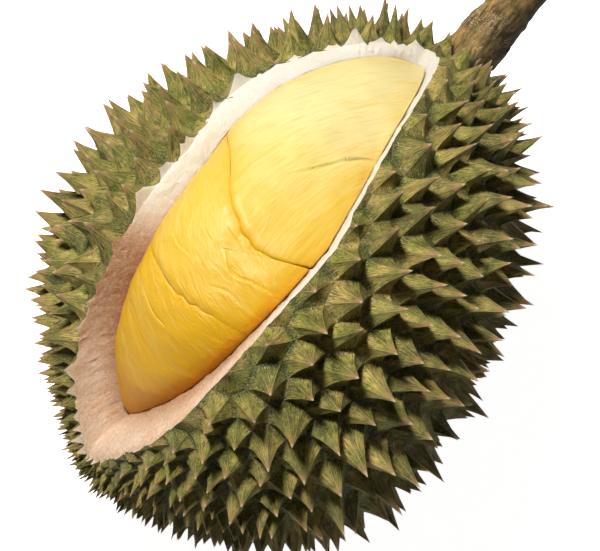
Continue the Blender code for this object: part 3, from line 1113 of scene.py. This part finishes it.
def fleshMaterial(fibre, name, deepening, wrinkling):
    material, tree, shader = startMaterial(
        name, Specular_IOR_Level=0.32, Coat_Weight=0.07, Coat_Roughness=0.35,
        Subsurface_Weight=0.2, Subsurface_Scale=0.004, Subsurface_Radius=(1.0, 0.7, 0.3))
    here = hereOn(tree)
    placeX, placeY, _ = partsOf(tree, here)
    grain = fieldOf(tree, "grain", "Vector")
    close = fieldOf(tree, "close")
    fold = fieldOf(tree, "fold")
    broad, fine = useGroup(tree, fibre, Vector=grain, Along=0.10, Across=0.8)
    cloud = noiseAt(tree, here, 28.0, 3.0, 0.55)
    wrinkles = noiseAt(tree, stretched(tree, grain, (0.09, 0.26, 0.3)), 1.0, 5.0, 0.62, 1.4)

    # paler towards the stem, deeper towards the blossom end; the pale stem end is partly a painted highlight,
    # the washed-out top of the stem-end aril
    along = sums(tree, "MULTIPLY_ADD", placeY, 0.35, placeX)
    paleHighlightToDeep = put(tree, "ShaderNodeMapRange", {0: along, 1: 0.015, 2: -0.115, 3: 0.0, 4: 1.0}).outputs[0]
    uneven = times(tree, sums(tree, "SUBTRACT", cloud, 0.5), 0.35)
    # deeper towards the outline through close: partly the flesh's own tone, partly painted shade where it
    # meets the wall
    paleHighlightToDeep = sums(tree, "ADD", sums(tree, "ADD", paleHighlightToDeep, uneven), weighted(tree, (close, 0.15), (1.0, deepening)))
    core = float(setDown[0])
    # deeper orange at the outline on the blossom half: partly the flesh's own rim colour, partly painted
    # shade where the flesh meets the wall
    edge = times(tree, band(tree, close, 0.72, 1.0), band(tree, placeX, core + 0.005, core - 0.05))
    base = paint(tree, fleshTone["pale"], fleshTone, (
        ("middle", band(tree, paleHighlightToDeep, 0.0, 0.5), 1),
        ("deep", band(tree, paleHighlightToDeep, 0.45, 1.15), 1),
        ("light", band(tree, broad, 0.5, 0.7), 0.10),
        ("deep", band(tree, fine, 0.52, 0.32), 0.34),
        ("deep", band(tree, wrinkles, 0.47, 0.3), 0.3),
        ("edge", edge, 0.75),
        # painted shade: deeper tone along the creases where one aril rolls over the next
        ("deep", fold, 0.75)))
    rough = sums(tree, "MULTIPLY_ADD", fine, 0.25, 0.3)
    tree.links.new(rough, shader.inputs["Roughness"])
    surface(tree, shader, base, weighted(tree, (wrinkles, wrinkling), (fine, 0.35)), 0.6, 0.7 * mm)
    return material


barkTone = {
    "tan": colour(184, 146, 85),
    "brown": colour(118, 93, 54),
    "green": colour(70, 72, 43),
    "dark": colour(25, 22, 12),
    "pale": colour(180, 157, 113),
}


def barkMaterial(speckle):
    material, tree, shader = startMaterial("bark", Roughness=0.75, Specular_IOR_Level=0.25)
    here = hereOn(tree)
    placeY = partsOf(tree, here)[1]
    joint = fieldOf(tree, "joint")
    cutEnd = fieldOf(tree, "cutEnd")
    blotch, grain, dots = useGroup(tree, speckle, Vector=here, Size=1.3)
    streaks = noiseAt(tree, stretched(tree, here, (0.2, 1.0, 1.0)), 700.0, 3.0, 0.6)
    flakes = put(tree, "ShaderNodeTexVoronoi", {"Vector": stretched(tree, here, (0.8, 1.0, 1.0)),
                                                "Scale": 950.0}, feature="DISTANCE_TO_EDGE").outputs[0]
    rims = times(tree, band(tree, flakes, 0.14, 0.03), band(tree, streaks, 0.4, 0.6))
    coreY = float(setDown[1])
    base = paint(tree, barkTone["brown"], barkTone, (
        ("tan", band(tree, blotch, 0.35, 0.65), 1),
        ("dark", band(tree, streaks, 0.55, 0.35), 0.6),
        ("green", band(tree, noiseAt(tree, here, 60.0), 0.5, 0.7), 0.5),
        ("dark", joint, 0.6),
        ("pale", times(tree, joint, rims), 1),
        # painted shade: the stalk's -Y side, the side away from the light, is darkened
        ("dark", band(tree, placeY, coreY + 0.003, coreY - 0.010), 0.68),
        ("dark", dots, 0.4),
        ("pale", band(tree, cutEnd, 0.0, 0.02), 1)))
    surface(tree, shader, base, weighted(tree, (streaks, 0.7), (grain, 0.6)), 0.6, 0.5 * mm)
    return material


# Make every piece

fibre = fibreGroup()
speckle = speckleGroup()
skin = skinMaterial(speckle)

husk, cage = raiseThorns()
huskLow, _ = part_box("husk")
cageLow = cage.min(axis=0)
setDown = np.array([huskLow.x - cageLow[0], huskLow.y - cageLow[1], -cageLow[2] - thorns["restCut"]])
pith = pithMaterial(fibre, speckle)
print("thorns raised:", len(husk.data.polygons), "facets; set down by", setDown.round(5))
shapeThorns(husk)
husk.data.materials.append(skin)
print("thorns shaped:", len(husk.data.polygons), "faces")

editAll(husk)
bpy.ops.mesh.bisect(plane_co=(0, 0, -setDown[2]), plane_no=(0, 0, 1), use_fill=True, clear_inner=True,
                    threshold=1e-6)
bpy.ops.object.mode_set(mode="OBJECT")
cutter = windowCutter()
cutter.data.materials.append(pith)
cutAway(husk, cutter)
bpy.ops.object.select_all(action="DESELECT")
bpy.ops.mesh.primitive_cylinder_add(
    vertices=64, radius=stalk["path"][0][2] * mm + stalk["gap"], depth=wall["reach"] + stalk["seat"],
    location=(fruit["halfLength"] + (wall["reach"] - stalk["seat"]) / 2, 0, 0),
    rotation=(0, math.radians(90), 0))
seat = bpy.context.object
seat.data.uv_layers[0].name = "place"
seat.data.materials.append(pith)
cutAway(husk, seat)
writePlaces(husk.data, readPlaces(husk.data) + setDown)
pickOnly(husk)
bpy.ops.object.shade_smooth_by_angle(angle=thorns["creaseAngle"])
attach(husk, "root")
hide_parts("husk")
print("window cut:", len(husk.data.polygons), "faces")

for index, aril in enumerate(arils):
    piece = growAril(index, aril, setDown)
    piece.data.materials.append(fleshMaterial(fibre, aril["slot"], aril["deepening"], aril["wrinkling"]))
    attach(piece, "root")
    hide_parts(aril["node"])
    print("grown:", aril["name"], len(piece.data.polygons), "faces")

stalkPiece = makeStalk(setDown)
stalkPiece.data.materials.append(barkMaterial(speckle))
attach(stalkPiece, "root")
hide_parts("stem")
print("stalk made")


# Floor, lights and camera

studio = {
    "aim": (0.0038, -0.0092, 0.0019),    # from the fruit's own middle
    "azimuth": -49.845,
    "elevation": 69.93,
    "roll": -0.22,
    "distance": 0.95,
    "lens": 136.2,
    # each light: rightward, upward and towards the camera, power, size
    "key": (-0.24, 0.54, 0.82, 31.5, 0.26),
    "fill": (0.1, -0.25, 0.95, 0.5, 1.2),
    "lightDistance": 1.5,
    "floorSize": 12,
    "skyStrength": 0.03,
    "floorLift": 0.95,
}


def cameraMatrix(right, up, back, place):
    return Matrix(((right.x, up.x, back.x, place.x), (right.y, up.y, back.y, place.y),
                   (right.z, up.z, back.z, place.z), (0, 0, 0, 1)))


def makeStudio():
    bpy.ops.object.select_all(action="DESELECT")
    bpy.ops.mesh.primitive_plane_add(size=studio["floorSize"])
    floor = bpy.context.object
    floor.name = "floor"
    material, tree, shader = startMaterial("paleFloor", Roughness=0.9, Specular_IOR_Level=0.1)
    shader.inputs["Base Color"].default_value = colour(250, 250, 248)
    shader.inputs["Emission Color"].default_value = colour(255, 255, 255)
    seen = put(tree, "ShaderNodeLightPath").outputs["Is Camera Ray"]
    tree.links.new(sums(tree, "MULTIPLY", seen, studio["floorLift"]), shader.inputs["Emission Strength"])
    floor.data.materials.append(material)

    az, el = math.radians(studio["azimuth"]), math.radians(studio["elevation"])
    back = Vector((math.sin(az) * math.cos(el), -math.cos(az) * math.cos(el), math.sin(el)))
    data = bpy.data.cameras.new("camera")
    data.lens = studio["lens"]
    data.sensor_width = 36
    camera = bpy.data.objects.new("camera", data)
    bpy.context.scene.collection.objects.link(camera)
    right = Vector((0, 0, 1)).cross(back).normalized()
    up = back.cross(right)
    roll = math.radians(studio["roll"])
    tilted = right * math.cos(roll) + up * math.sin(roll)
    upright = back.cross(tilted)
    aim = Vector(studio["aim"]) + Vector(setDown)
    camera.matrix_world = cameraMatrix(tilted, upright, back, aim + back * studio["distance"])
    bpy.context.scene.camera = camera

    for name in ("key", "fill"):
        rightward, upward, backward, power, size = studio[name]
        direction = rightward * right + upward * up + backward * back
        lamp = bpy.data.lights.new(name, "AREA")
        lamp.energy = power
        lamp.size = size
        item = bpy.data.objects.new(name, lamp)
        item.location = aim + direction.normalized() * studio["lightDistance"]
        item.rotation_euler = direction.to_track_quat("Z", "Y").to_euler()
        bpy.context.scene.collection.objects.link(item)
    world = bpy.data.worlds.new("studio")
    bpy.context.scene.world = world
    world.use_nodes = True
    sky = world.node_tree.nodes["Background"]
    sky.inputs["Color"].default_value = (1, 1, 1, 1)
    sky.inputs["Strength"].default_value = studio["skyStrength"]
    bpy.context.scene.view_settings.view_transform = "Standard"


makeStudio()
print("ready")
